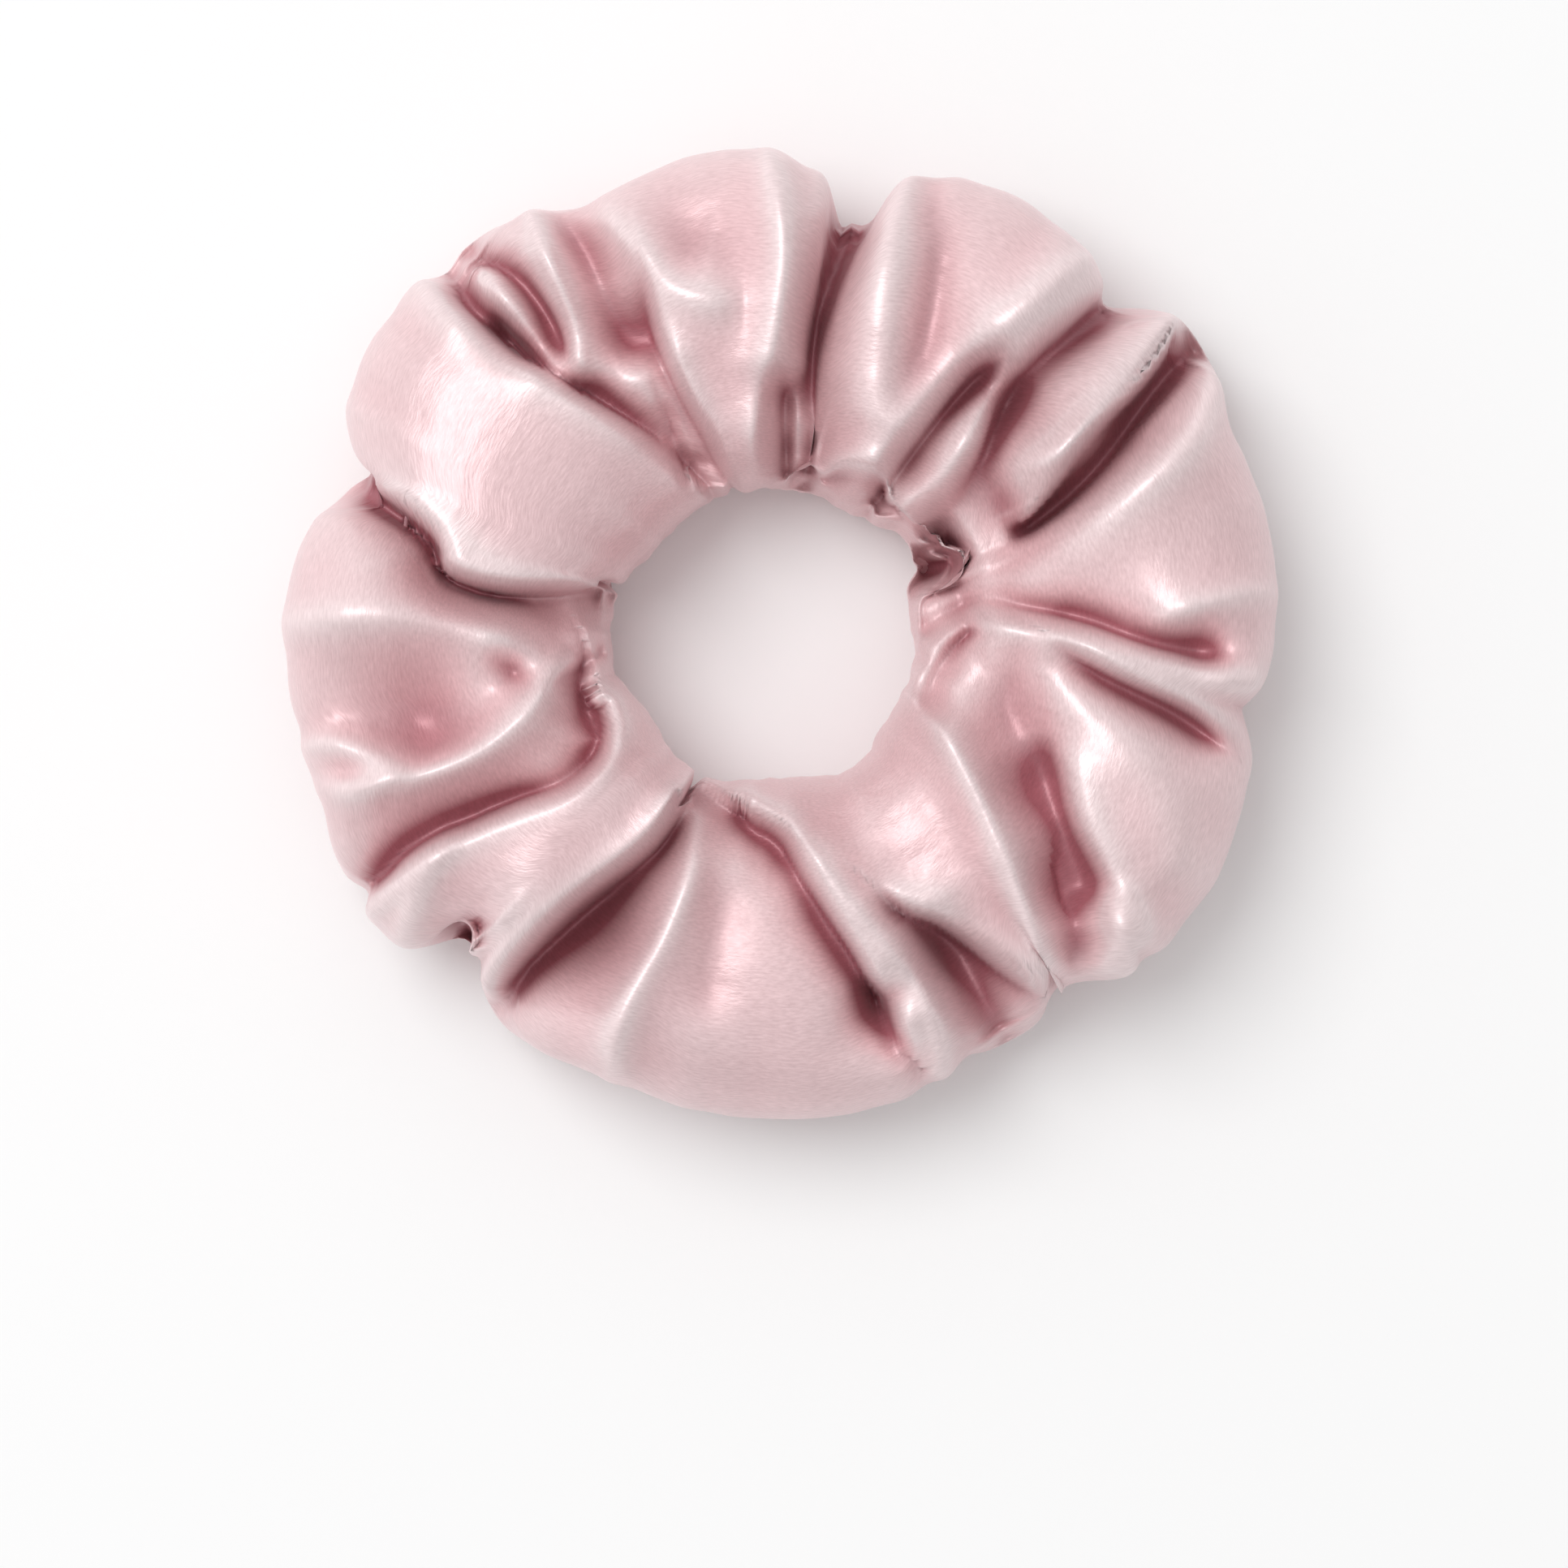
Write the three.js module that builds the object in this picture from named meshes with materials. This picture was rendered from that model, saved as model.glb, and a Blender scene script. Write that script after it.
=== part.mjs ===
// Satin hair scrunchie: a gathered fabric tube around a flat elastic ring.
// Millimetres, +Z up. The elastic is centred on the Z axis and the cover rests on z = 0.
import * as THREE from 'three';

// ---- driving dimensions ----

const gap = 0.3; // clearance between neighbouring pieces
const threadRadius = 0.25;
const wrapRoom = gap + 2 * threadRadius; // what a stitch wound round a piece adds on each side
const seamGap = 2 * (gap + threadRadius); // between the cover's two ends, for the closing stitches

// Typical sizes of the gathered cover; each gather differs from them by its own amounts.
const cover = { outerRadius: 57, holeRadius: 17, height: 34 };
const pinchDrop = 7; // how far a pinch's top lies below the cover's height
const pinchInset = 0.5; // how far a pinch's inner edge lies outside those beside it
const pinchLift = 1.5; // how far a pinch's underside is off the table
const underDip = 2.5; // how deep a gather's underside would hang before the table flattens it
const pinchHeight = cover.height - pinchDrop;

// The elastic lies this far outside the edge of the hole, low in the cover.
const elastic = { inset: 9, z: 10.8, thickness: 0.8, width: 6, overlapDegrees: 33 };
elastic.radius = cover.holeRadius + elastic.inset;
const layerStep = elastic.thickness + gap; // how far the overlapping end lies outside the first

// The elastic's channel clears both layers, the stitches around them and the long seam beside them.
const channelRoom = 0.8;
const channel = {
  radius: elastic.radius + layerStep / 2,
  halfWidth: (layerStep + elastic.thickness) / 2 + wrapRoom + 2 * threadRadius + channelRoom,
  halfHeight: elastic.width / 2 + wrapRoom + channelRoom,
};

const seamAngle = 160; // where the cover's two ends and the elastic's two ends are joined

// The gathers, anticlockwise from the right. Each starts at a pinch, at its angle in degrees, and
// ends at the next. The other values are added to the cover's typical sizes: pinch to the outer
// radius at the start, bulge to the outer radius in the middle, hole and height in the middle.
const gathers = [
  { name: 'gather_right', from: -9, pinch: -2.5, bulge: 1.0, hole: -2.0, height: -1 },
  { name: 'gather_right_small', from: 27, pinch: 0.0, bulge: 2.5, hole: 1.5, height: -4 },
  { name: 'gather_upper_right', from: 43, pinch: -2.5, bulge: 0.5, hole: -1.0, height: 0 },
  { name: 'gather_top', from: 80, pinch: -9.0, bulge: -0.6, hole: -0.5, height: -1 },
  { name: 'gather_upper_left', from: 113, pinch: -3.0, bulge: 1.5, hole: 0.0, height: 0 },
  { name: 'gather_left', from: seamAngle, pinch: -4.5, bulge: 0.5, hole: 2.5, height: -2 },
  { name: 'gather_lower_left', from: 200, pinch: -0.5, bulge: 1.0, hole: 0.5, height: -3 },
  { name: 'gather_bottom_left', from: 226, pinch: -7.5, bulge: -1.0, hole: 1.5, height: -2 },
  { name: 'gather_bottom', from: 252, pinch: -1.5, bulge: -0.7, hole: -0.5, height: 0 },
  { name: 'gather_bottom_right', from: 290, pinch: -2.0, bulge: -2.5, hole: 0.5, height: -4 },
  { name: 'gather_lower_right', from: 308, pinch: -5.0, bulge: 1.0, hole: -1.5, height: 0 },
];

const sectionSides = 16;
const gatherRows = 7;

// ---- materials ----

const satin = new THREE.MeshStandardMaterial({ color: 0xdfaab0, roughness: 0.35, metalness: 0 });
const knittedElastic = new THREE.MeshStandardMaterial({ color: 0xf3eeea, roughness: 0.8, metalness: 0 });
const polyesterThread = new THREE.MeshStandardMaterial({ color: 0xd79ca4, roughness: 0.6, metalness: 0 });
const elasticThread = new THREE.MeshStandardMaterial({ color: 0xf5f1ee, roughness: 0.6, metalness: 0 });

// ---- helpers ----

const radians = THREE.MathUtils.degToRad;
const mix = THREE.MathUtils.lerp;

// A point at radius and height on the half-plane at an angle, shifted along the tangent.
function polar(radius, degrees, z, tangentShift = 0) {
  const a = radians(degrees);
  const x = radius * Math.cos(a) - tangentShift * Math.sin(a);
  const y = radius * Math.sin(a) + tangentShift * Math.cos(a);
  return new THREE.Vector3(x, y, z);
}

// A closed solid over rows of matching loops. Rings of rows join up; others get flat end caps.
function solidFromLoops(loops, ring) {
  const sides = loops[0].length;
  const corners = loops.flat();
  const triangles = [];
  const spans = ring ? loops.length : loops.length - 1;
  for (let row = 0; row < spans; row += 1) {
    const here = row * sides;
    const next = ((row + 1) % loops.length) * sides;
    for (let side = 0; side < sides; side += 1) {
      const beside = (side + 1) % sides;
      triangles.push(here + side, next + side, next + beside);
      triangles.push(here + side, next + beside, here + beside);
    }
  }
  if (!ring) {
    const last = (loops.length - 1) * sides;
    for (let side = 1; side < sides - 1; side += 1) {
      triangles.push(0, side, side + 1);
      triangles.push(last, last + side + 1, last + side);
    }
  }
  const geometry = new THREE.BufferGeometry().setFromPoints(corners);
  geometry.setIndex(triangles);
  geometry.computeVertexNormals();
  return geometry;
}

function named(name, geometry, material) {
  const mesh = new THREE.Mesh(geometry, material);
  mesh.name = name;
  return mesh;
}

// ---- cover ----

// One cross-section of a gather: an oval in the half-plane at an angle, flat where it meets z = 0.
function coverSection(inner, outer, low, high, degrees, tangentShift) {
  const middle = (inner + outer) / 2;
  const halfWidth = (outer - inner) / 2;
  const loop = [];
  for (let side = 0; side < sectionSides; side += 1) {
    const around = (2 * Math.PI * side) / sectionSides;
    const radius = middle + halfWidth * Math.cos(around);
    const z = (low + high) / 2 + ((high - low) / 2) * Math.sin(around);
    loop.push(polar(radius, degrees, Math.max(0, z), tangentShift));
  }
  return loop;
}

// The channel's cross-section, a rounded rectangle that the elastic runs through.
function channelSection(degrees, tangentShift) {
  const loop = [];
  for (let side = 0; side < sectionSides; side += 1) {
    const around = (2 * Math.PI * side) / sectionSides;
    const squared = (wave) => Math.sign(wave) * Math.abs(wave) ** 0.6;
    const radius = channel.radius + channel.halfWidth * squared(Math.cos(around));
    const z = elastic.z + channel.halfHeight * squared(Math.sin(around));
    loop.push(polar(radius, degrees, z, tangentShift));
  }
  return loop;
}

function endShift(degrees) {
  return (degrees === seamAngle ? seamGap : gap) / 2;
}

// The inner radius at a pinch, a little outside those of the gathers on its two sides.
function holeAtPinch(index) {
  const before = gathers[(index + gathers.length - 1) % gathers.length];
  return cover.holeRadius + (before.hole + gathers[index].hole) / 2 + pinchInset;
}

function gatherSolid(index) {
  const gather = gathers[index];
  const nextIndex = (index + 1) % gathers.length;
  const following = gathers[nextIndex];
  const end = following.from + (nextIndex === 0 ? 360 : 0);
  const outside = [];
  const inside = [];
  for (let row = 0; row < gatherRows; row += 1) {
    const along = row / (gatherRows - 1);
    const swell = Math.sin(Math.PI * along) ** 0.6;
    const pinch = mix(gather.pinch, following.pinch, along);
    const hole = mix(holeAtPinch(index), holeAtPinch(nextIndex), along);
    const degrees = mix(gather.from, end, along);
    let shift = 0;
    if (row === 0) shift = endShift(gather.from);
    if (row === gatherRows - 1) shift = -endShift(following.from);
    outside.push(coverSection(
      mix(hole, cover.holeRadius + gather.hole, swell),
      cover.outerRadius + mix(pinch, gather.bulge, swell),
      mix(pinchLift, -underDip, swell),
      mix(pinchHeight, cover.height + gather.height, swell),
      degrees,
      shift,
    ));
    inside.push(channelSection(degrees, shift));
  }
  return solidFromLoops([...outside, ...inside.reverse()], true);
}

// ---- elastic and threads ----

// The band runs one full turn and a lap more, each turn lying one layer further out.
function elasticRadiusAt(turned) {
  return elastic.radius + (layerStep * turned) / 360;
}

function elasticBand() {
  const stepDegrees = 5;
  const wholeDegrees = 360 + elastic.overlapDegrees;
  const first = seamAngle - elastic.overlapDegrees / 2;
  const steps = Math.round(wholeDegrees / stepDegrees);
  const loops = [];
  for (let step = 0; step <= steps; step += 1) {
    const turned = (wholeDegrees * step) / steps;
    const radius = elasticRadiusAt(turned);
    const inner = radius - elastic.thickness / 2;
    const outer = radius + elastic.thickness / 2;
    const bottom = elastic.z - elastic.width / 2;
    const top = elastic.z + elastic.width / 2;
    loops.push([
      polar(outer, first + turned, bottom),
      polar(outer, first + turned, top),
      polar(inner, first + turned, top),
      polar(inner, first + turned, bottom),
    ]);
  }
  return solidFromLoops(loops, false);
}

// A round thread along a list of points; an open thread gets end caps.
function threadAlong(points, segments, closed) {
  const curve = new THREE.CatmullRomCurve3(points, closed, 'centripetal');
  const frames = curve.computeFrenetFrames(segments, closed);
  const sides = 6;
  const count = closed ? segments : segments + 1;
  const loops = [];
  for (let step = 0; step < count; step += 1) {
    const centre = curve.getPointAt(step / segments);
    const loop = [];
    for (let side = 0; side < sides; side += 1) {
      const around = (2 * Math.PI * side) / sides;
      const point = centre.clone();
      point.addScaledVector(frames.normals[step], threadRadius * Math.cos(around));
      point.addScaledVector(frames.binormals[step], -threadRadius * Math.sin(around));
      loop.push(point);
    }
    loops.push(loop);
  }
  return solidFromLoops(loops, closed);
}

// Whip stitches wound around both layers of the elastic where they overlap.
function elasticJoinThread() {
  const turns = 5;
  const spreadDegrees = 24;
  const pointsPerTurn = 8;
  const clear = wrapRoom - threadRadius;
  const middle = elasticRadiusAt(180 + elastic.overlapDegrees / 2);
  const halfDepth = (layerStep + elastic.thickness) / 2 + clear;
  const halfHeight = elastic.width / 2 + clear;
  const points = [];
  for (let step = 0; step <= turns * pointsPerTurn; step += 1) {
    const around = (2 * Math.PI * (step + 0.5)) / pointsPerTurn;
    const squared = (wave) => Math.sign(wave) * Math.min(1, Math.abs(wave) * 1.5);
    const radius = middle + halfDepth * squared(Math.cos(around));
    const z = elastic.z + halfHeight * squared(Math.sin(around));
    const degrees = seamAngle + spreadDegrees * (step / (turns * pointsPerTurn) - 0.5);
    points.push(polar(radius, degrees, z));
  }
  return threadAlong(points, turns * 16, false);
}

// The lengthwise seam's thread, on the hole side of the elastic.
function longSeamThread() {
  const radius = channel.radius - channel.halfWidth + gap + threadRadius;
  return new THREE.TorusGeometry(radius, threadRadius, 6, 60);
}

// Stitches that close the cover's two ends together, in the gap between them.
function closingSeamThread() {
  const seamIndex = gathers.findIndex((gather) => gather.from === seamAngle);
  const margin = 1.5; // how far the stitches lie inside the cover's edge
  const inner = holeAtPinch(seamIndex) + margin;
  const outer = cover.outerRadius + gathers[seamIndex].pinch - margin;
  const loop = coverSection(inner, outer, pinchLift + margin, pinchHeight - margin, seamAngle, 0);
  return threadAlong(loop, 48, true);
}

// ---- assembly ----

const scrunchie = new THREE.Group();

gathers.forEach((gather, index) => {
  scrunchie.add(named(gather.name, gatherSolid(index), satin));
});

scrunchie.add(named('elastic_band', elasticBand(), knittedElastic));
scrunchie.add(named('elastic_join_thread', elasticJoinThread(), elasticThread));

const longSeam = named('long_seam_thread', longSeamThread(), polyesterThread);
longSeam.position.z = elastic.z;
scrunchie.add(longSeam);

scrunchie.add(named('closing_seam_thread', closingSeamThread(), polyesterThread));

export default scrunchie;
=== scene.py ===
import math

import bpy
import numpy as np
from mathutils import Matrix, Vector


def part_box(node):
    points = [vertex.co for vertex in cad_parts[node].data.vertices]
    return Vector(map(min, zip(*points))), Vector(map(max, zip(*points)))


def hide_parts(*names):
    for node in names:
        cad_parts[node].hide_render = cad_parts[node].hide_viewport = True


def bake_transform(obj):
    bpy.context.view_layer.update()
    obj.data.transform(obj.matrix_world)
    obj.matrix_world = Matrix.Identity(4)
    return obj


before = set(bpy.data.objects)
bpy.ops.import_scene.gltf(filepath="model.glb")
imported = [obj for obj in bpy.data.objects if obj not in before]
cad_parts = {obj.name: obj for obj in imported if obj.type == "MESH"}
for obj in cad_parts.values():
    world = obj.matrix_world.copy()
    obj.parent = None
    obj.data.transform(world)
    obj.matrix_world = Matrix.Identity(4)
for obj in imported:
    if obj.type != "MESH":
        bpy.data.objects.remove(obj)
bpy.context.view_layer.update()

MM = 0.001

# ---------------------------------------------------------------- cover: driving values

COLUMNS = 640  # round the ring
ROWS = 152  # round the tube
STRIP = (0.112, 0.380)  # the satin strip as cut, in metres
SEAM_ANGLE = 160  # where the strip's two ends meet, in degrees from +X
BASE_HEIGHT = 26.0  # of the tube before its folds are added, mm
UNDER_DIP = 2.5  # how far the underside would hang before the table flattens it, mm
FULLNESS = 0.8  # below 1 makes the tube's section squarer, so that it stands fuller at its edges
INSET = 3.0  # how far inside its outline the tube starts, before its folds push it out, mm

FOLD_GAIN = 1.7  # on the folds' heights
SIDE_PUSH = 0.2  # the share of a fold's height that also pushes sideways, on top
RIM_PUSH = 0.55  # the same on the upright sides
CREST_TIGHTENING = 0.5  # how much of each crest, crease and step is added again, narrower
CREASE_TIGHTENING = 0.9
STEP_TIGHTENING = 0.6
HOLE_SHARE = 0.65  # of a fold's height that is left at the edge of the hole
SHALLOWER = 0.1  # how much less deep the creases are over the elastic
LOWEST_OVER_ELASTIC = 14.4  # the lowest that a crease goes above the elastic, mm
EASING = 4.0  # the height above that over which creases level out, mm
LOW_CREST = 24.0  # crests above this height, in mm, are pressed down
PRESSED_CREST = 8.5  # how far above it they can still reach, mm
FADE_MARGIN = 6  # fades from a fold's path beyond which it adds next to nothing
HOLE_RUN_OFF = 23  # a path that starts or ends inside this radius runs off into the hole, mm
RIM_RUN_OFF = 60  # and outside this one, over the rim
UNDER_RUN = 6  # how far the unrolled cover runs on from the hole down to the table, mm
SIDE_RUN = 18  # and from its outer edge down to the table
TABLE_CLEARANCE = 0.1  # between the underside and the table, mm

# Folds drawn on the cover. Each is (left, right, width, fade, path): how high the cloth stands in
# mm just left and just right of the path, how sharp the crest is, and how far it reaches.
# A path is a list of (degrees, radius in mm); radii past the outline run on down the side.
FOLDS = [
    # right gather and the long fold that curls in under it
    (1.5, -3.5, 0.8, 4.0, [(359, 31), (353, 38), (349, 47), (345, 54)]),
    (3.2, 3.2, 1.3, 2.6, [(346, 17.5), (354, 18.6), (0, 20.5), (2, 24), (0, 30), (357, 37),
                          (355, 46), (353, 56), (353, 66)]),
    (-4.0, -4.0, 0.9, 3.2, [(2, 16.5), (6, 19), (9.5, 24), (6, 28), (2, 35), (358, 42),
                             (356.5, 52)]),
    (1.6, 1.6, 1.2, 2.5, [(0.5, 41), (3, 46), (4.5, 52), (5, 62)]),
    (3.4, 3.4, 1.5, 3.8, [(16, 14), (18, 22), (19, 30), (20.5, 38), (25, 50), (29, 58), (30, 68)]),
    (-6.5, -6.5, 1.2, 3.6, [(21.5, 17), (21.5, 25), (22, 31), (25.5, 38), (29.5, 45), (32.5, 51),
                            (34, 57), (34, 66)]),
    (2.0, -2.0, 0.6, 2.4, [(23, 29), (28, 35), (32.5, 41), (34.5, 47.5), (37, 54), (39, 60)]),
    (2.0, 2.0, 1.4, 2.6, [(35, 31), (33.5, 34), (32.5, 38), (33, 45)]),
    (-5.0, -5.0, 2.0, 3.0, [(26, 14), (26, 20), (27, 27), (28, 33)]),
    # upper right gather
    (1.0, -4.5, 1.2, 4.5, [(34.5, 19), (39, 26), (43, 31), (46.5, 36), (48, 42), (46.5, 49),
                           (45, 56), (44.5, 66)]),
    (-5.5, -5.5, 1.1, 2.8, [(53.5, 15), (53.5, 22), (53.5, 29), (52.8, 36), (51, 42)]),
    (4.0, 4.0, 1.5, 3.2, [(60, 20.5), (57.8, 27), (56.5, 33), (54.5, 40), (52.5, 47), (51, 54),
                          (50.5, 64)]),
    (-2.2, -2.2, 2.2, 4.0, [(62.5, 27), (63.5, 36), (67, 45), (71, 52), (73, 62)]),
    (3.0, 3.0, 3.0, 5.0, [(66, 23), (69, 32), (74, 42), (76.5, 50), (77, 60)]),
    (-2.5, 2.0, 0.8, 2.6, [(48, 20), (57, 21.5), (65, 21), (73, 19.5), (79, 18)]),
    (-5.5, -5.5, 0.8, 2.8, [(81, 16), (80.3, 22), (82.5, 28), (83.2, 34), (82, 40), (80, 46),
                            (79.7, 52), (79.7, 62)]),
    # top gather
    (3.2, 3.2, 1.1, 2.8, [(92, 66), (92.5, 57), (90.5, 50), (89.3, 43), (89.8, 37), (91.5, 31),
                          (94.5, 26), (98, 21), (100, 13)]),
    (-5.0, -5.0, 1.0, 1.8, [(90, 31), (89, 25), (88, 19), (88, 15)]),
    (1.8, 1.8, 0.8, 1.6, [(85.5, 28), (85, 22), (84.5, 16)]),
    (-3.5, 1.8, 0.7, 3.2, [(107, 14), (109.3, 23), (111.7, 30), (112, 37), (110.5, 43)]),
    (2.4, 2.4, 1.4, 2.6, [(118, 66), (117.5, 57), (113.5, 51.5), (110.3, 45.5), (107.5, 41),
                          (102, 38.5), (96, 38)]),
    # crumple between the top and upper left gathers
    (-2.8, -2.8, 3.0, 3.2, [(117, 33), (117.5, 41), (117, 49), (119, 55), (119, 64)]),
    (2.8, 2.8, 0.9, 1.8, [(130, 36), (126.5, 39), (123.7, 43), (122, 49), (120.7, 54), (120, 64)]),
    (-4.0, -4.0, 1.1, 2.3, [(129, 38), (127, 41), (126, 45), (126.5, 50), (128.5, 55), (130, 62)]),
    (2.0, 2.0, 0.8, 1.5, [(130, 36), (130.5, 40), (130, 44), (129.3, 48), (130.5, 51.5)]),
    (-2.5, -2.5, 0.9, 1.5, [(131.5, 40), (132.7, 44), (132.7, 49)]),
    (-8.0, -8.0, 1.4, 2.4, [(115.5, 24.5), (122, 25)]),
    # upper left gather, its smooth face and the edge that laps the left one
    (0.5, -6.0, 0.9, 3.6, [(120.5, 20.5), (124, 26), (129, 33), (133, 41), (134.5, 50), (133.5, 56),
                           (132, 66)]),
    (-8.5, 0.5, 0.8, 3.6, [(165, 20), (169.5, 26), (171, 33), (169.5, 38.3), (165, 40.2),
                           (161.5, 44), (159, 50), (158.5, 55), (158.5, 66)]),
    # left gather
    (3.2, 3.2, 2.0, 3.8, [(186, 27), (180.5, 33), (178, 40), (178, 48), (179, 56), (179, 66)]),
    (-1.5, -1.5, 0.8, 2.0, [(184, 34), (189, 30.5), (194, 28.5)]),
    (3.6, 3.6, 1.1, 2.1, [(187, 23), (193, 26.5), (199, 31), (202, 37), (202, 43), (201, 48),
                          (200, 52), (197.5, 56), (196, 66)]),
    (2.4, 2.4, 0.9, 1.6, [(192.5, 64), (193, 56), (194.5, 51), (198, 47.3), (202, 45)]),
    (-2.2, -2.2, 0.6, 1.6, [(186.5, 20.5), (191, 24), (194, 28)]),
    # lower left gather
    (2.6, -5.0, 1.0, 3.4, [(203, 21.8), (210, 22.5), (215.5, 25), (216.8, 30), (214, 36),
                           (212.5, 41), (211.5, 47), (212.5, 53), (213, 62)]),
    (1.4, 1.4, 0.6, 1.0, [(204, 23.6), (210, 24.2), (215, 24.6)]),
    (1.6, 1.6, 0.8, 1.3, [(211, 42), (214, 47), (217.5, 51), (220.5, 55), (222, 60)]),
    (-7.0, -7.0, 1.0, 2.2, [(223.5, 46.5), (225, 50), (226.5, 54), (227, 64)]),
    (3.0, 3.0, 3.0, 4.5, [(219, 23), (222, 32), (225, 40), (229, 47)]),
    # bottom left hollow
    (-6.5, 3.2, 1.0, 4.5, [(239.5, 22), (239, 27), (235.5, 34), (232.5, 41), (231, 48), (231, 56),
                           (231, 66)]),
    (3.6, 3.6, 1.4, 2.8, [(241, 22.5), (246, 24.5), (249.3, 30), (249, 37), (247.5, 45),
                          (248.5, 51), (252, 57), (253, 66)]),
    # bottom gather and its tongue
    (-0.7, -0.7, 2.5, 3.0, [(257, 27), (258, 36), (259, 46)]),
    (3.6, -4.0, 0.9, 3.2, [(262, 20.7), (270, 22.5), (275.5, 26.5), (280.5, 32.5), (284.5, 39.5),
                           (287, 47), (287.5, 50)]),
    (-4.0, -4.0, 1.0, 1.8, [(284.5, 40), (287, 46)]),
    (3.0, 3.0, 1.1, 1.9, [(276.5, 23.5), (283, 30), (289, 37), (292, 44), (291.7, 50), (289.5, 54),
                          (287, 53)]),
    (-4.5, -4.5, 3.0, 3.5, [(295, 36), (298, 45), (299, 54), (299, 64)]),
    (1.5, -4.0, 0.9, 3.2, [(290.5, 31), (294, 34.5), (299, 38), (303.5, 44), (307.5, 52),
                           (308, 62)]),
    # lower right gather
    (4.8, 4.8, 1.1, 2.1, [(334, 16), (329, 21), (321, 28.5), (315, 36), (311, 43), (309, 49.5),
                          (310.5, 52.5), (314, 53.5), (317.5, 52), (320, 49), (321.5, 45.5)]),
    (-2.2, 2.0, 1.4, 3.2, [(318, 50), (322, 46), (327, 40), (333, 36), (340, 33)]),
    (-3.4, -3.4, 0.7, 1.6, [(334, 18.6), (345, 18.5), (354, 19.7), (0, 21.7)]),
    (2.0, 2.0, 3.5, 5.0, [(350, 27), (347, 35), (341, 43), (332, 51), (325, 57)]),
]

# Broad swells and hollows: height in mm, reach in mm, degrees, radius.
SWELLS = [
    (-5.0, 6.5, 342, 27), (-4.5, 6.5, 329, 33), (-4.0, 5.5, 318, 43),
    (2.2, 19, 147, 38), (1.5, 9, 70, 44), (-6.5, 8.5, 194.5, 42), (-7.5, 7.0, 239.5, 40),
    (-1.5, 8.0, 10, 36), (1.5, 9.0, 255, 45), (0.6, 8.0, 98, 36), (-2.0, 5.5, 103, 45),
    (-3.5, 5.0, 45, 38), (1.0, 7.0, 305, 25), (1.5, 8.0, 171, 48), (-1.0, 6.0, 0, 50),
]

# How far the strip's end seam leans off its angle: radius in mm, degrees.
SEAM_LEAN = [
    (14, 3.5), (20, 5.5), (27, 10), (33, 11), (38.5, 9.5), (44, 1.5), (50, -1), (56, -1.5),
    (90, -1.5),
]
SEAM_LEAN_REACH = 24  # degrees either side over which the lean dies away

# ---------------------------------------------------------------- curves and grids

def smooth_step(t):
    t = np.clip(t, 0, 1)
    return t * t * (3 - 2 * t)


def round_the_ring(pairs, degrees):
    """A smooth closed curve through (degrees, value) pairs, read at an array of degrees."""
    at = np.array([p[0] for p in pairs], float)
    value = np.array([p[1] for p in pairs], float)
    at = np.concatenate([at[-2:] - 360, at, at[:2] + 360])
    value = np.concatenate([value[-2:], value, value[:2]])
    wrapped = np.mod(degrees, 360)
    k = np.clip(np.searchsorted(at, wrapped, side="right") - 1, 1, len(at) - 3)
    span = at[k + 1] - at[k]
    t = (wrapped - at[k]) / span
    slope_a = (value[k + 1] - value[k - 1]) / (at[k + 1] - at[k - 1]) * span
    slope_b = (value[k + 2] - value[k]) / (at[k + 2] - at[k]) * span
    return ((2 * t**3 - 3 * t**2 + 1) * value[k] + (t**3 - 2 * t**2 + t) * slope_a
            + (3 * t**2 - 2 * t**3) * value[k + 1] + (t**3 - t**2) * slope_b)


def plane(degrees, radius):
    a = np.radians(degrees)
    return np.stack([radius * np.cos(a), radius * np.sin(a)], axis=-1)


def reach_round_the_ring(spots, every, window):
    """How far out and how far in the plane points reach, at places round the ring."""
    degrees = np.mod(np.degrees(np.arctan2(spots[:, 1], spots[:, 0])), 360)
    radius = np.hypot(spots[:, 0], spots[:, 1])
    places = np.arange(0, 360, every)
    outer, inner = np.empty(len(places)), np.empty(len(places))
    for k, place in enumerate(places):
        near = np.abs(np.mod(degrees - place + 180, 360) - 180) < window
        outer[k], inner[k] = radius[near].max(), radius[near].min()
    return places, outer, inner


def cad_reach(names):
    """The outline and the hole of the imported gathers, as (degrees, mm) pairs."""
    along = np.linspace(0, 1, 12)[:, None, None]
    spots = []
    for name in names:
        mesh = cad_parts[name].data
        corners = np.array([v.co[:2] for v in mesh.vertices]) / MM
        starts, ends = (corners[[e.vertices[k] for e in mesh.edges]] for k in (0, 1))
        spots.append((starts + (ends - starts) * along).reshape(-1, 2))
    places, outer, inner = reach_round_the_ring(np.concatenate(spots), 3.0, 1.6)
    for _ in range(4):  # cloth bridges the narrow pinches round the hole
        inner = (np.roll(inner, 1) + 2 * inner + np.roll(inner, -1)) / 4
    return list(zip(places, outer)), list(zip(places, inner))


def smooth_path(path, steps=6):
    """A finer path through the given (degrees, radius) points, as plane points in mm."""
    points = plane(np.array([p[0] for p in path], float), np.array([p[1] for p in path], float))
    ends = np.vstack([2 * points[0] - points[1], points, 2 * points[-1] - points[-2]])
    out = []
    for i in range(1, len(ends) - 2):
        a, b, c, d = ends[i - 1], ends[i], ends[i + 1], ends[i + 2]
        for t in np.arange(steps) / steps:
            out.append(0.5 * (2 * b + (c - a) * t + (2 * a - 5 * b + 4 * c - d) * t**2
                              + (3 * b - a - 3 * c + d) * t**3))
    return np.array(out + [ends[-2]])


def neighbours(points):
    return sum(np.roll(points, by, axis=axis) for axis in (0, 1) for by in (-1, 1)) / 4


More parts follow.
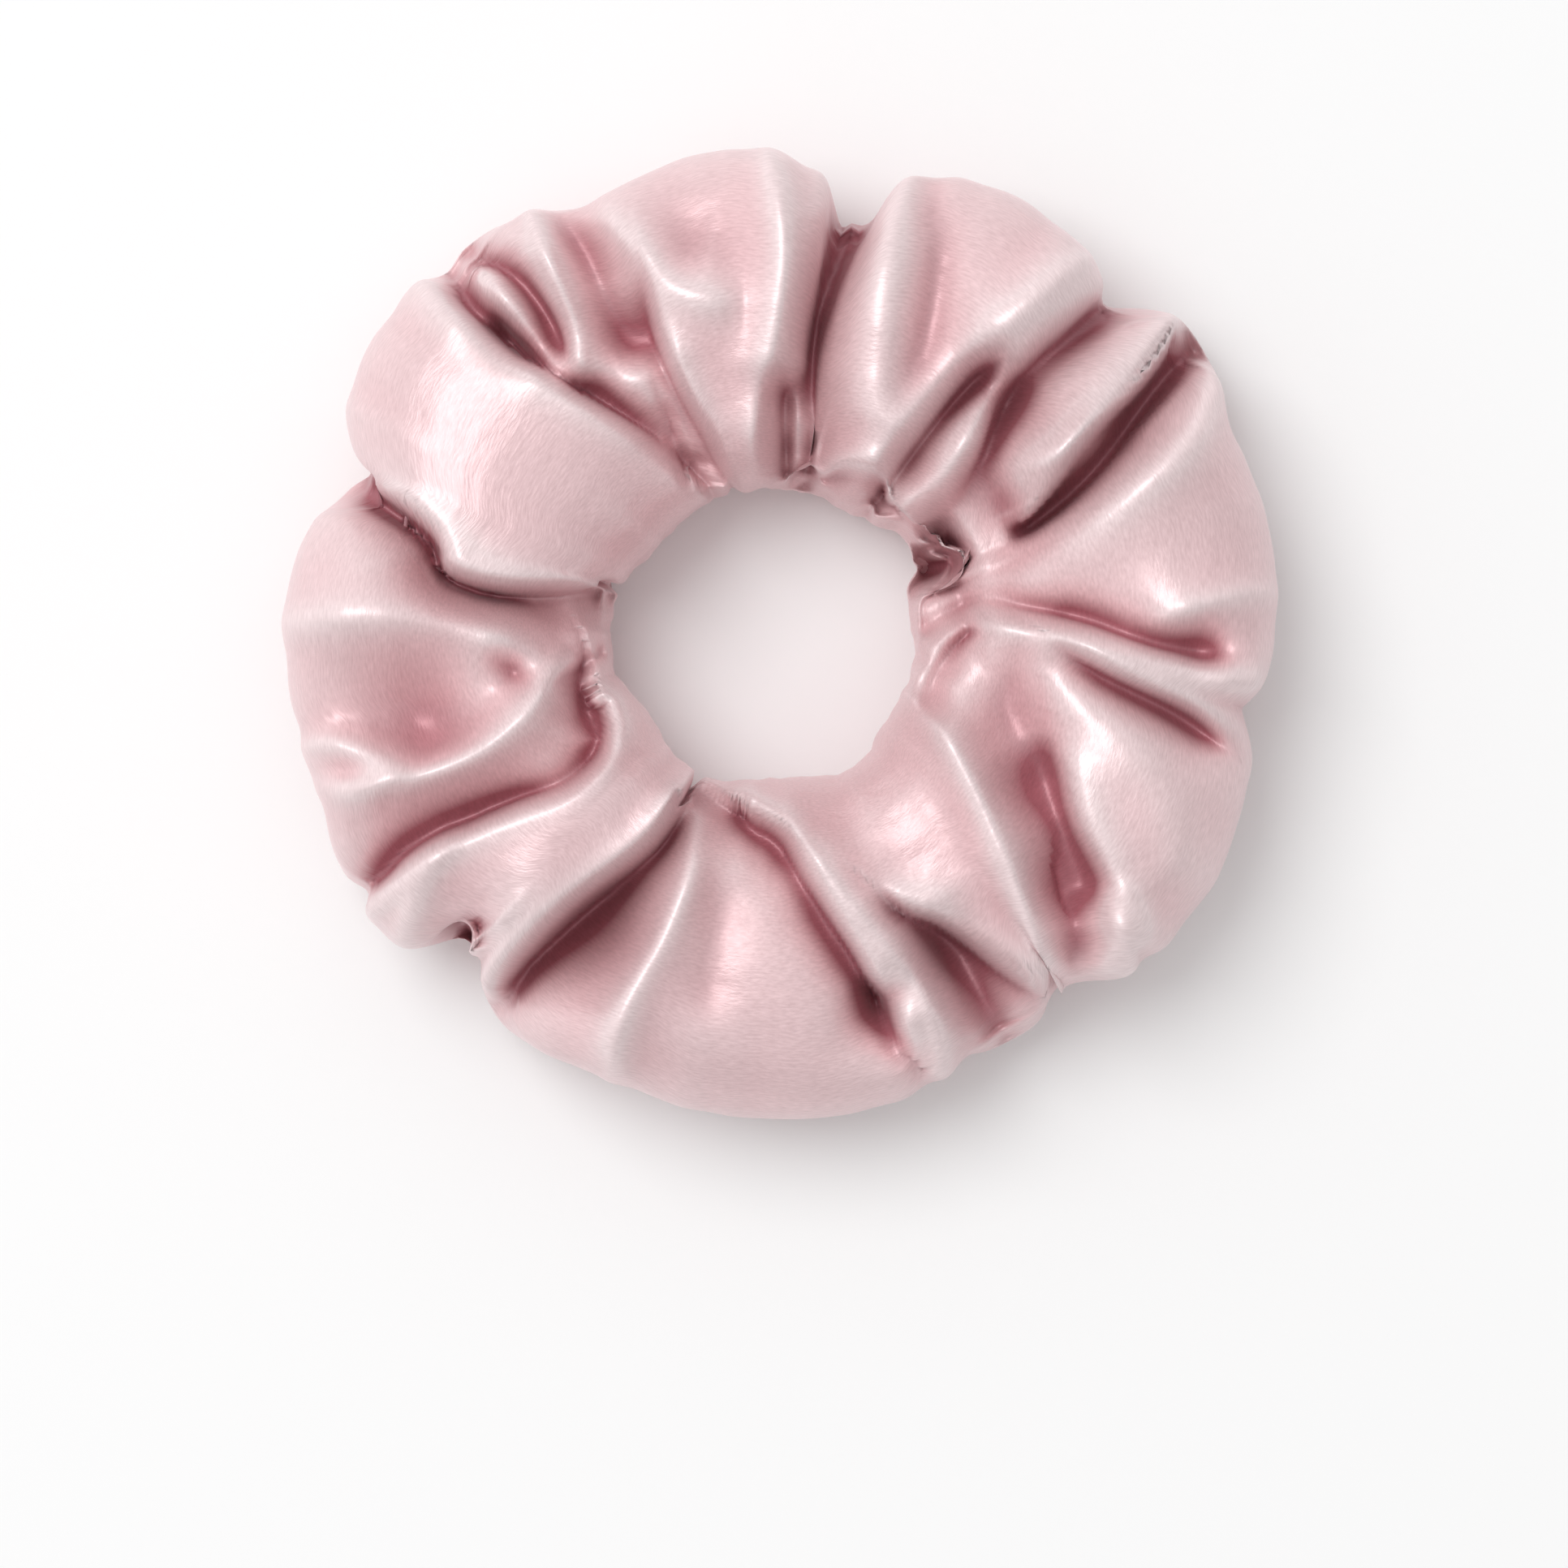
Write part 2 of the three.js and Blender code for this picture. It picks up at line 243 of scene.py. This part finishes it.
def grid_normals(points):
    """Outward normals of the closed cover grid. Its top is three quarters through its rows."""
    along = np.roll(points, -1, axis=0) - np.roll(points, 1, axis=0)
    across = np.roll(points, -1, axis=1) - np.roll(points, 1, axis=1)
    normal = np.cross(along, across)
    normal /= np.maximum(np.linalg.norm(normal, axis=-1, keepdims=True), 1e-9)
    return normal * np.sign(np.sum(normal[:, points.shape[1] * 3 // 4, 2]))


def strip_faces(columns, rows):
    """The faces of an open grid of (columns + 1) x (rows + 1) points."""
    faces = []
    for i in range(columns):
        for j in range(rows):
            a = i * (rows + 1) + j
            b = a + rows + 1
            faces.append((a, a + 1, b + 1, b))
    return faces


def tube_faces(columns, rows, closed):
    """The faces of a tube of rows points round it, closed along its length or capped."""
    faces = []
    for i in range(columns if closed else columns - 1):
        for j in range(rows):
            k, m = (i + 1) % columns, (j + 1) % rows
            faces.append((i * rows + j, k * rows + j, k * rows + m, i * rows + m))
    if not closed:
        faces.append(tuple(range(rows))[::-1])
        faces.append(tuple((columns - 1) * rows + j for j in range(rows)))
    return faces


def new_mesh(name, points, faces, material):
    mesh = bpy.data.meshes.new(name)
    mesh.from_pydata([tuple(p) for p in np.asarray(points, float)], [], faces)
    mesh.materials.append(material)
    mesh.polygons.foreach_set("use_smooth", [True] * len(mesh.polygons))
    mesh.update()
    piece = bpy.data.objects.new(name, mesh)
    bpy.context.scene.collection.objects.link(piece)
    return piece


def add_uv(piece, name, uv):
    layer = piece.data.uv_layers.new(name=name)
    corner_vertices = np.empty(len(piece.data.loops), np.int32)
    piece.data.loops.foreach_get("vertex_index", corner_vertices)
    layer.data.foreach_set("uv", np.asarray(uv, np.float32)[corner_vertices].reshape(-1))


# ---------------------------------------------------------------- cover: shape

def fold_height(spots, left, right, width, fade, path):
    """What one fold adds at each plane point, in mm."""
    line = smooth_path(path)
    height = np.zeros(len(spots))
    margin = width + FADE_MARGIN * fade
    low, high = line.min(axis=0) - margin, line.max(axis=0) + margin
    inside = np.all((spots > low) & (spots < high), axis=1)
    near = spots[inside]
    nearest = np.full(len(near), 1e9)
    side = np.zeros(len(near))
    along = np.zeros(len(near))
    lengths = np.linalg.norm(np.diff(line, axis=0), axis=1)
    start = np.concatenate([[0], np.cumsum(lengths)])
    for i, (a, b) in enumerate(zip(line[:-1], line[1:])):
        step = b - a
        t = np.clip(((near - a) @ step) / (step @ step), 0, 1)
        gap = near - (a + t[:, None] * step)
        far = np.hypot(gap[:, 0], gap[:, 1])
        closer = far < nearest
        nearest[closer] = far[closer]
        cross = step[0] * gap[:, 1] - step[1] * gap[:, 0]
        side[closer] = (np.sign(cross) * far)[closer]
        along[closer] = (start[i] + t * lengths[i])[closer]
    reach = np.exp(-(np.sqrt(nearest**2 + width**2) - width) / fade)
    leftness = 0.5 + 0.5 * np.tanh(side / width)
    # a fold dies away at its ends, unless it runs off into the hole or over the edge
    beyond = 99  # more than any fold's length
    runs_off = [r < HOLE_RUN_OFF or r > RIM_RUN_OFF for r in (path[0][1], path[-1][1])]
    to_end = np.minimum(along + beyond * runs_off[0], start[-1] - along + beyond * runs_off[1])
    taper = smooth_step(0.2 + 0.8 * to_end / (1.6 * fade + 1.5))
    height[inside] = (left * leftness + right * (1 - leftness)) * reach * taper
    return height


def depth_share(height, radius):
    """Folds are lower where they crowd round the hole, and shallower over the elastic."""
    over_elastic = smooth_step((radius - 20) / 4) * smooth_step((34 - radius) / 4)
    crowding = HOLE_SHARE + (1 - HOLE_SHARE) * smooth_step((radius - 15) / 9)
    return crowding * np.where(height < 0, 1 - SHALLOWER * over_elastic, 1)


def tube_radius(degrees, around):
    """How far the plain tube lies from the axis, round the ring and round the tube."""
    outer = round_the_ring(outline_of_gathers, degrees) - INSET
    inner = round_the_ring(hole_of_gathers, degrees)
    bulge = np.sign(np.cos(around)) * np.abs(np.cos(around)) ** 0.9
    return (outer + inner) / 2 + (outer - inner) / 2 * bulge


def gathered_tube():
    """The cover with its folds, in mm: one row of points per place round the ring."""
    turn = SEAM_ANGLE + 360 * np.arange(COLUMNS) / COLUMNS
    # round the tube from the hole side: underneath, outside, on top and back to the hole side
    roll = math.pi + 2 * math.pi * np.arange(ROWS) / ROWS
    degrees, around = np.meshgrid(turn, roll, indexing="ij")
    lean = np.interp(tube_radius(degrees, around), *zip(*SEAM_LEAN))
    off_seam = np.mod(degrees - SEAM_ANGLE + 180, 360) - 180
    near_seam = smooth_step(1 - np.abs(off_seam) / SEAM_LEAN_REACH)
    degrees = degrees + lean * near_seam * (np.sin(around) > -0.5)
    radius = tube_radius(degrees, around)
    rise = np.sign(np.sin(around)) * np.abs(np.sin(around)) ** FULLNESS
    z = (BASE_HEIGHT - UNDER_DIP) / 2 + (BASE_HEIGHT + UNDER_DIP) / 2 * rise
    points = np.concatenate([plane(degrees, radius), z[..., None]], axis=-1)
    normals = grid_normals(points)

    # the cover unrolled: past the outline, spots run on down the side
    below = np.clip(-np.sin(around), 0, 1)
    outside = np.cos(around) >= 0
    edge = round_the_ring(outline_of_gathers, degrees) - INSET
    unrolled = np.where(outside, radius, radius - UNDER_RUN * below)
    unrolled = np.where(outside & (below > 0), edge + SIDE_RUN * below, unrolled)
    spots = plane(degrees, unrolled).reshape(-1, 2)
    height = np.zeros(len(spots))
    for fold in FOLDS:
        height += FOLD_GAIN * fold_height(spots, *fold)
    for swell, reach, at, far in SWELLS:
        gap = spots - plane(np.array(at), np.array(far))
        height += swell * np.exp(-(gap**2).sum(axis=1) / reach**2)
    height = height.reshape(degrees.shape)
    height *= depth_share(height, unrolled)
    under = smooth_step((0.45 - np.sin(around)) / 1.0)
    height *= 1 - under
    height += under * small_pleats(degrees) * (0.9 + 0.3 * np.clip(-np.cos(around), 0, 1))
    push = normals * height[..., None]
    push[..., :2] *= SIDE_PUSH + (RIM_PUSH - SIDE_PUSH) * (1 - np.abs(normals[..., 2:]))
    points = points + push
    points[..., 2] = np.maximum(points[..., 2], 0.05)
    return points


def small_pleats(degrees):
    """The regular gathers underneath, which nothing has pulled out of place."""
    a = np.radians(degrees)
    return np.sin(19 * a + 1.3 * np.sin(3 * a)) + 0.6 * np.sin(31 * a + 2.0)


def fit_outline(points):
    """Eases the cover in or out so that its outer edge and its hole keep their outlines."""
    degrees = np.mod(np.degrees(np.arctan2(points[..., 1], points[..., 0])), 360)
    radius = np.hypot(points[..., 0], points[..., 1])
    places, outer, inner = reach_round_the_ring(points[..., :2].reshape(-1, 2), 2.0, 1.6)
    ring = np.concatenate([places - 360, places, places + 360])
    outer = np.interp(degrees, ring, np.tile(outer, 3))
    inner = np.interp(degrees, ring, np.tile(inner, 3))
    middle = 36.0  # points at this radius stay where they are
    outwards = smooth_step((radius - middle) / (outer - middle))
    inwards = smooth_step((middle - radius) / (middle - inner))
    moved = radius + (round_the_ring(outline_of_gathers, degrees) - outer) * outwards
    moved += (round_the_ring(hole_of_gathers, degrees) - inner) * inwards
    grown = (moved / radius)[..., None]
    return np.concatenate([points[..., :2] * grown, points[..., 2:]], axis=-1)


def calmed(points, passes=8):
    """Evens out crinkles round the hole, where the folds crowd, and down the outer side."""
    for _ in range(passes):
        far = np.hypot(points[..., 0], points[..., 1])
        at_hole = 1 - smooth_step((far - 17) / 5)
        at_rim = smooth_step((far - 47) / 5) * smooth_step((19 - points[..., 2]) / 5)
        share = 0.6 * np.maximum(at_hole, at_rim)[..., None]
        points = points * (1 - share) + neighbours(points) * share
    return points


def tighten_folds(points):
    """Adds each crest, crease and step again, narrower, on the upper side."""
    upward = smooth_step((grid_normals(points)[..., 2] - 0.15) / 0.4)
    spots = points[..., :2].reshape(-1, 2)
    height = np.zeros(len(spots))
    for left, right, width, fade, path in FOLDS:
        gain = STEP_TIGHTENING
        if left * right > 0:
            gain = CREST_TIGHTENING if left > 0 else CREASE_TIGHTENING
        height += gain * fold_height(spots, left, right, 0.7 * width, 0.6 * fade, path)
    far = np.hypot(points[..., 0], points[..., 1])
    height = height.reshape(far.shape) * upward
    height *= depth_share(height, far)
    return points + height[..., None] * np.array([0, 0, 1])


def rest_on_table(points):
    """Rounds the highest crests, flattens the underside and keeps the top clear of the elastic."""
    z = points[..., 2]
    high = np.maximum(z - LOW_CREST, 0)
    z = z - high + PRESSED_CREST * np.tanh(high / PRESSED_CREST)
    z = z - (z.min() - TABLE_CLEARANCE) * (1 - smooth_step((z - 4) / 14))
    far = np.hypot(points[..., 0], points[..., 1])
    upward = grid_normals(points)[..., 2] > 0
    over = smooth_step((far - 21) / 4) * smooth_step((32 - far) / 4) * upward
    above = z - LOWEST_OVER_ELASTIC
    eased = np.where(above > EASING, above, EASING * np.exp((above - EASING) / EASING))
    z = z + (eased - above) * over
    return np.concatenate([points[..., :2], z[..., None]], axis=-1)


def fold_depth(points, passes=45):
    """How far each point stands above, or below nought under, the cloth round about it, in mm."""
    broad = points
    for _ in range(passes):
        broad = neighbours(broad)
    return ((points - broad) * grid_normals(broad)).sum(axis=-1)


def open_out(grid):
    """The closed grid with its first row and column again at its end: the strip's other edges."""
    grid = np.concatenate([grid, grid[:1]], axis=0)
    return np.concatenate([grid, grid[:, :1]], axis=1)


def satin_cover(points, material):
    """The whole satin strip as one sheet, its long edges and its ends meeting at their seams."""
    cover = new_mesh("satin_cover", open_out(points).reshape(-1, 3) * MM,
                     strip_faces(COLUMNS, ROWS), material)
    # the fold depth sets where the satin gets its painted shade in the creases and its painted
    # highlight on the crests
    crease = cover.data.attributes.new("fold_depth", "FLOAT", "POINT")
    crease.data.foreach_set("value", open_out(fold_depth(points)).reshape(-1).astype(np.float32))
    along, across = np.meshgrid(np.arange(COLUMNS + 1) / COLUMNS, np.arange(ROWS + 1) / ROWS,
                                indexing="ij")
    add_uv(cover, "strip", np.stack([STRIP[1] * along, STRIP[0] * across], axis=-1).reshape(-1, 2))
    return cover


# ---------------------------------------------------------------- elastic and threads

ELASTIC_RADIUS = 26.0  # of the elastic's first turn, mm
ELASTIC_HEIGHT = 10.8  # of its middle above the table
ELASTIC_WIDTH = 6.0
ELASTIC_THICKNESS = 0.8
LAYER_STEP = 1.1  # how far out the lapping end lies
LAP_DEGREES = 33.0
ELASTIC_CORDS = 9  # rubber cords side by side in the knitted band
THREAD_RADIUS = 0.25
LONG_SEAM_RADIUS = 24.05
STITCH_LENGTH = 2.5  # of the long seam, mm


def knitted_elastic(material):
    """The flat elastic: a ribbed band, one full turn and a lap."""
    whole = 360 + LAP_DEGREES
    steps = 900
    sides = 48
    turned = whole * np.arange(steps + 1) / steps
    middle = ELASTIC_RADIUS + LAYER_STEP * turned / 360
    around = 2 * math.pi * np.arange(sides) / sides
    angle, corner = np.meshgrid(SEAM_ANGLE - LAP_DEGREES / 2 + turned, around, indexing="ij")
    squarely = lambda wave, power: np.sign(wave) * np.abs(wave) ** power
    across = ELASTIC_WIDTH / 2 * squarely(np.cos(corner), 0.75)
    ribs = 0.07 * np.cos(2 * math.pi * ELASTIC_CORDS * across / ELASTIC_WIDTH)
    loops = 0.05 * np.sin(np.radians(angle) * 300 + np.round(across) * math.pi)
    thick = (ELASTIC_THICKNESS / 2 - 0.12 + ribs + loops) * squarely(np.sin(corner), 0.3)
    flat = plane(angle, middle[:, None] + thick)
    points = np.concatenate([flat, (ELASTIC_HEIGHT + across)[..., None]], axis=-1)
    band = new_mesh("knitted_elastic", points.reshape(-1, 3) * MM,
                    tube_faces(steps + 1, sides, False), material)
    length = np.radians(angle) * ELASTIC_RADIUS * MM
    add_uv(band, "band", np.stack([length, across * MM], axis=-1).reshape(-1, 2))
    return band


def twisted_thread(name, line, closed, material, turns_per_mm=0.8):
    """A two-ply sewing thread along a line of points in mm."""
    line = np.asarray(line, float)
    ahead = np.roll(line, -1, axis=0) - np.roll(line, 1, axis=0)
    if not closed:
        ahead[0], ahead[-1] = line[1] - line[0], line[-1] - line[-2]
    ahead /= np.linalg.norm(ahead, axis=1, keepdims=True)
    outward = line.mean(axis=0) - line
    side = np.cross(ahead, outward)
    side /= np.linalg.norm(side, axis=1, keepdims=True)
    up = np.cross(side, ahead)
    sides = 10
    around = 2 * math.pi * np.arange(sides) / sides
    travelled = np.concatenate([[0], np.cumsum(np.linalg.norm(np.diff(line, axis=0), axis=1))])
    whole_turns = max(1, round(travelled[-1] * turns_per_mm))
    twist = 2 * math.pi * whole_turns * travelled / travelled[-1]
    radius = THREAD_RADIUS * (0.78 + 0.22 * np.abs(np.cos(around[None, :] - twist[:, None])))
    points = (line[:, None] + (radius * np.cos(around))[..., None] * side[:, None]
              + (radius * np.sin(around))[..., None] * up[:, None])
    faces = tube_faces(len(line), sides, closed)
    thread = new_mesh(name, points.reshape(-1, 3) * MM, faces, material)
    length, turn = np.meshgrid(travelled * MM, around / (2 * math.pi), indexing="ij")
    add_uv(thread, "thread", np.stack([length, turn], axis=-1).reshape(-1, 2))
    return thread


def elastic_join_stitches(material):
    """Whip stitches round both layers where the elastic's ends lap."""
    low, high = (np.array(corner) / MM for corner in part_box("elastic_join_thread"))
    turns, per_turn = 5, 48
    steps = np.arange(turns * per_turn + 1)
    around = 2 * math.pi * steps / per_turn
    middle = ELASTIC_RADIUS + LAYER_STEP * (180 + LAP_DEGREES / 2) / 360
    half_depth = (LAYER_STEP + ELASTIC_THICKNESS) / 2 + THREAD_RADIUS + 0.05
    half_height = (high[2] - low[2]) / 2 - THREAD_RADIUS
    squared = lambda wave: np.clip(wave * 1.5, -1, 1)
    degrees = SEAM_ANGLE + 24 * (steps / steps[-1] - 0.5)
    flat = plane(degrees, middle + half_depth * squared(np.cos(around)))
    z = ELASTIC_HEIGHT + half_height * squared(np.sin(around))
    return twisted_thread("elastic_join_stitches", np.column_stack([flat, z]), False, material)


def long_seam_stitches(material):
    """The lengthwise seam's lockstitches, a shallow wave through the cloth's two edges."""
    stitches = round(2 * math.pi * LONG_SEAM_RADIUS / STITCH_LENGTH)
    degrees = 360 * np.arange(stitches * 12) / (stitches * 12)
    wave = np.cos(np.radians(degrees) * stitches)
    flat = plane(degrees, LONG_SEAM_RADIUS + 0.12 * wave)
    z = ELASTIC_HEIGHT + 0.15 * np.abs(wave)
    return twisted_thread("long_seam_stitches", np.column_stack([flat, z]), True, material)


def closing_stitches(points, material):
    """Stitches that close the strip's two ends, zigzagging just under the cloth."""
    under = points - 1.1 * grid_normals(points)
    lean, every = 0.45, 3
    line = []
    for row in range(0, ROWS, every):
        across = under[1, row] - under[-1, row]
        across /= np.linalg.norm(across)
        zigzag = 1 if (row // every) % 2 else -1
        line.append(under[0, row] + zigzag * lean * across)
    line = np.array(line)
    for _ in range(3):  # twice as many points each time, on a smooth curve
        before, after, beyond = (np.roll(line, by, axis=0) for by in (1, -1, -2))
        between = (9 * (line + after) - before - beyond) / 16
        line = np.stack([line, between], axis=1).reshape(-1, 3)
    return twisted_thread("closing_stitches", line, True, material)


# ---------------------------------------------------------------- materials

# Painted light on the satin: painted shade darkens the creases and a painted highlight pales the
# crests, by how deep each point lies in its fold. The middle pink is the satin's own colour.
SHADE_DARKEST_DEPTH = -1.8  # mm below the cloth round about, where the painted shade in the creases is darkest
# mm above the cloth round about, where the painted highlight on the crests is palest
HIGHLIGHT_PALEST_HEIGHT = 1.5
PAINTED_SHADE_PINK = (0.45, 0.16, 0.19)
MIDDLE_PINK = (0.84, 0.575, 0.595)
PAINTED_HIGHLIGHT_PINK = (0.91, 0.745, 0.755)
GLOSS_ROUGHNESS = 0.36


def node_material(name, color, roughness):
    material = bpy.data.materials.new(name)
    material.use_nodes = True
    shader = material.node_tree.nodes["Principled BSDF"]
    shader.inputs["Base Color"].default_value = (*color, 1)
    shader.inputs["Roughness"].default_value = roughness
    return material, shader


def textured(material, uv_map, scale, texture_type):
    """A texture on the piece's own UV map, in repeats to the metre along and across it."""
    nodes, links = material.node_tree.nodes, material.node_tree.links
    place = nodes.new("ShaderNodeUVMap")
    place.uv_map = uv_map
    mapping = nodes.new("ShaderNodeMapping")
    mapping.inputs["Scale"].default_value = (*scale, 1)
    texture = nodes.new(texture_type)
    texture.inputs["Scale"].default_value = 1.0
    links.new(place.outputs["UV"], mapping.inputs["Vector"])
    links.new(mapping.outputs["Vector"], texture.inputs["Vector"])
    return texture


def tone_ramp(material, texture, dark, light):
    """Colours from dark to light over the texture's usual range."""
    tones = material.node_tree.nodes.new("ShaderNodeValToRGB")
    tones.color_ramp.elements[0].position = 0.3
    tones.color_ramp.elements[0].color = (*dark, 1)
    tones.color_ramp.elements[1].position = 0.7
    tones.color_ramp.elements[1].color = (*light, 1)
    material.node_tree.links.new(texture.outputs["Fac"], tones.inputs["Fac"])
    return tones


def two_tone(material, shader, texture, dark, light):
    tones = tone_ramp(material, texture, dark, light)
    material.node_tree.links.new(tones.outputs["Color"], shader.inputs["Base Color"])


def bumped(material, shader, texture, strength, distance):
    nodes, links = material.node_tree.nodes, material.node_tree.links
    bump = nodes.new("ShaderNodeBump")
    bump.inputs["Strength"].default_value = strength
    bump.inputs["Distance"].default_value = distance
    links.new(texture.outputs["Fac"], bump.inputs["Height"])
    links.new(bump.outputs["Normal"], shader.inputs["Normal"])
    return bump


def satin_material():
    """Satin: soft along its floats, with painted shade darkening its creases and a painted
    highlight paling its crests.
    """
    material, shader = node_material("pink_satin", MIDDLE_PINK, GLOSS_ROUGHNESS)
    nodes, links = material.node_tree.nodes, material.node_tree.links
    shader.inputs["Metallic"].default_value = 0.18
    shader.inputs["Specular IOR Level"].default_value = 0.6
    shader.inputs["Anisotropic"].default_value = 0.6
    shader.inputs["Sheen Weight"].default_value = 0.25
    shader.inputs["Sheen Roughness"].default_value = 0.3
    shader.inputs["Sheen Tint"].default_value = (1.0, 0.85, 0.87, 1)
    weave = nodes.new("ShaderNodeTangent")
    weave.direction_type = "UV_MAP"
    weave.uv_map = "strip"
    links.new(weave.outputs["Tangent"], shader.inputs["Tangent"])
    # painted shade in the creases and a painted highlight on the crests, read from each point's
    # fold depth
    fold = nodes.new("ShaderNodeAttribute")
    fold.attribute_name = "fold_depth"
    level = nodes.new("ShaderNodeMapRange")
    level.inputs["From Min"].default_value = SHADE_DARKEST_DEPTH
    level.inputs["From Max"].default_value = HIGHLIGHT_PALEST_HEIGHT
    links.new(fold.outputs["Fac"], level.inputs["Value"])
    painted_shade_and_highlight = nodes.new("ShaderNodeValToRGB")
    ramp = painted_shade_and_highlight.color_ramp
    ramp.elements[0].position = 0.0
    ramp.elements[0].color = (*PAINTED_SHADE_PINK, 1)
    ramp.elements[1].position = 1.0
    ramp.elements[1].color = (*PAINTED_HIGHLIGHT_PINK, 1)
    middle = ramp.elements.new(-SHADE_DARKEST_DEPTH / (HIGHLIGHT_PALEST_HEIGHT - SHADE_DARKEST_DEPTH))
    middle.color = (*MIDDLE_PINK, 1)
    links.new(level.outputs["Result"], painted_shade_and_highlight.inputs["Fac"])
    # floats of the weave: fine dashes that lie along the strip
    grain = textured(material, "strip", (700, 4200), "ShaderNodeTexNoise")
    grain.inputs["Detail"].default_value = 3
    floats = tone_ramp(material, grain, (0.84, 0.82, 0.82), (1, 1, 1))
    tint = nodes.new("ShaderNodeMix")
    tint.data_type = "RGBA"
    tint.blend_type = "MULTIPLY"
    tint.inputs["Factor"].default_value = 1.0
    links.new(painted_shade_and_highlight.outputs["Color"], tint.inputs[6])
    links.new(floats.outputs["Color"], tint.inputs[7])
    links.new(tint.outputs[2], shader.inputs["Base Color"])
    # slack in the cloth, which makes its highlights waver
    slack = textured(material, "strip", (90, 260), "ShaderNodeTexNoise")
    slack.inputs["Detail"].default_value = 2
    wavering = bumped(material, shader, slack, 0.5, 0.0006)
    grained = bumped(material, shader, grain, 0.4, 0.0001)
    links.new(wavering.outputs["Normal"], grained.inputs["Normal"])
    return material


def elastic_material():
    material, shader = node_material("knitted_white", (0.86, 0.85, 0.82), 0.75)
    knit = textured(material, "band", (1600, 1300), "ShaderNodeTexNoise")
    knit.inputs["Detail"].default_value = 2
    two_tone(material, shader, knit, (0.70, 0.69, 0.66), (0.90, 0.89, 0.87))
    bumped(material, shader, knit, 0.4, 0.0001)
    shader.inputs["Sheen Weight"].default_value = 0.2
    return material


def thread_material(name, dark, light):
    material, shader = node_material(name, light, 0.45)
    fibres = textured(material, "thread", (2500, 9), "ShaderNodeTexNoise")
    two_tone(material, shader, fibres, dark, light)
    bumped(material, shader, fibres, 0.3, 0.00005)
    return material


# ---------------------------------------------------------------- stage

KEY_SIDE = (-0.45, 0.34, 0.82)  # where the studio is brightest
DARK_SIDE = 0.48
BRIGHT_SIDE = 0.82
KEY_PLACE = (-0.86, 0.68, 1.9)
KEY_SIZE = 1.5
KEY_POWER = 22.0
CAMERA_PLACE = (0.0005, -0.0174, 0.917)
CAMERA_LENS = 179.8


def make_stage():
    scene = bpy.context.scene
    camera_data = bpy.data.cameras.new("camera")
    camera_data.sensor_width = 36
    camera_data.lens = CAMERA_LENS
    camera = bpy.data.objects.new("camera", camera_data)
    camera.location = CAMERA_PLACE
    scene.collection.objects.link(camera)
    scene.camera = camera

    floor_material, _ = node_material("pale_floor", (0.93, 0.93, 0.93), 0.9)
    half = 3
    corners = [(-half, -half, 0), (half, -half, 0), (half, half, 0), (-half, half, 0)]
    new_mesh("floor", corners, [(0, 1, 2, 3)], floor_material)

    world = bpy.data.worlds.new("studio")
    world.use_nodes = True
    nodes, links = world.node_tree.nodes, world.node_tree.links
    direction = nodes.new("ShaderNodeTexCoord")
    facing = nodes.new("ShaderNodeVectorMath")
    facing.operation = "DOT_PRODUCT"
    facing.inputs[1].default_value = Vector(KEY_SIDE).normalized()
    links.new(direction.outputs["Generated"], facing.inputs[0])
    level = nodes.new("ShaderNodeMapRange")
    level.interpolation_type = "SMOOTHSTEP"
    level.inputs["From Min"].default_value = -0.1
    level.inputs["From Max"].default_value = 1.0
    level.inputs["To Min"].default_value = DARK_SIDE
    level.inputs["To Max"].default_value = BRIGHT_SIDE
    links.new(facing.outputs["Value"], level.inputs["Value"])
    links.new(level.outputs["Result"], nodes["Background"].inputs["Strength"])
    nodes["Background"].inputs["Color"].default_value = (1, 1, 1, 1)
    scene.world = world
    scene.view_settings.view_transform = "Standard"

    data = bpy.data.lights.new("key", "AREA")
    data.shape = "DISK"
    data.size = KEY_SIZE
    data.energy = KEY_POWER
    light = bpy.data.objects.new("key", data)
    light.location = KEY_PLACE
    light.rotation_euler = (-Vector(KEY_PLACE)).to_track_quat("-Z", "Y").to_euler()
    scene.collection.objects.link(light)


# ---------------------------------------------------------------- assembly

def place(piece, slot, *nodes):
    """The piece's placement is baked into its mesh, and it stands in for those CAD nodes, which are
    hidden.
    """
    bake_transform(piece)
    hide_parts(*nodes)


make_stage()
gathers = [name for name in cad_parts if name.startswith("gather_")]
outline_of_gathers, hole_of_gathers = cad_reach(gathers)
points = rest_on_table(tighten_folds(calmed(fit_outline(gathered_tube()))))
cover = satin_cover(points, satin_material())
place(cover, "satin", *gathers)

white_thread = thread_material("white_thread", (0.72, 0.71, 0.69), (0.90, 0.89, 0.87))
pink_thread = thread_material("pink_thread", (0.60, 0.32, 0.36), (0.82, 0.54, 0.57))
place(knitted_elastic(elastic_material()), "elastic", "elastic_band")
place(elastic_join_stitches(white_thread), "elastic_thread", "elastic_join_thread")
place(long_seam_stitches(pink_thread), "cover_thread", "long_seam_thread")
place(closing_stitches(points, pink_thread), "cover_thread", "closing_seam_thread")
